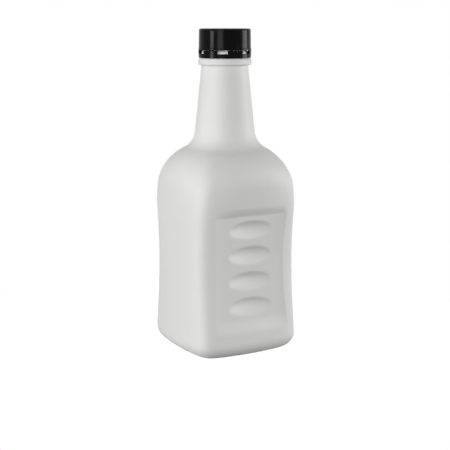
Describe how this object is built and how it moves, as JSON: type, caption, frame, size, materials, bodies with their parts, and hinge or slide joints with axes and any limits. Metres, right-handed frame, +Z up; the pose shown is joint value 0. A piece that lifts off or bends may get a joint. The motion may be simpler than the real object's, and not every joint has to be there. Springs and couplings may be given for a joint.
{
  "type": "square plastic chemical bottle",
  "caption": "Square-bodied plastic bottle with waisted, finger-hollowed grip sides, a long tapered neck and a black tamper-evident screw cap.",
  "frame": {"origin": "centre of the standing ring, on the surface the bottle stands on", "axes": "+Z up the neck; +X out of one grip panel; +Y out of one plain label face"},
  "size_m": [0.0704, 0.0724, 0.1922],
  "materials": {
    "shell": "satin",
    "closure": "semi-gloss",
    "foam": "matte"
  },
  "bodies": {
    "bottle": {"bottle": "shell", "tamper_band": "closure"},
    "liner": {"cap_liner": "foam"},
    "cap": {"screw_cap": "closure"}
  },
  "joints": [
    {"name": "cap_rise", "type": "slide", "parent": "bottle", "child": "liner", "axis": [0, 0, 1], "range_m": [0, 0.00635]},
    {"name": "cap_turn", "type": "hinge", "parent": "liner", "child": "cap", "pos_m": [0, 0, 0.186], "axis": [0, 0, 1], "range_deg": [0, 720]}
  ],
  "couplings": [
    {"joint": "cap_rise", "follows": "cap_turn", "m_per_rad": 0.000505}
  ]
}
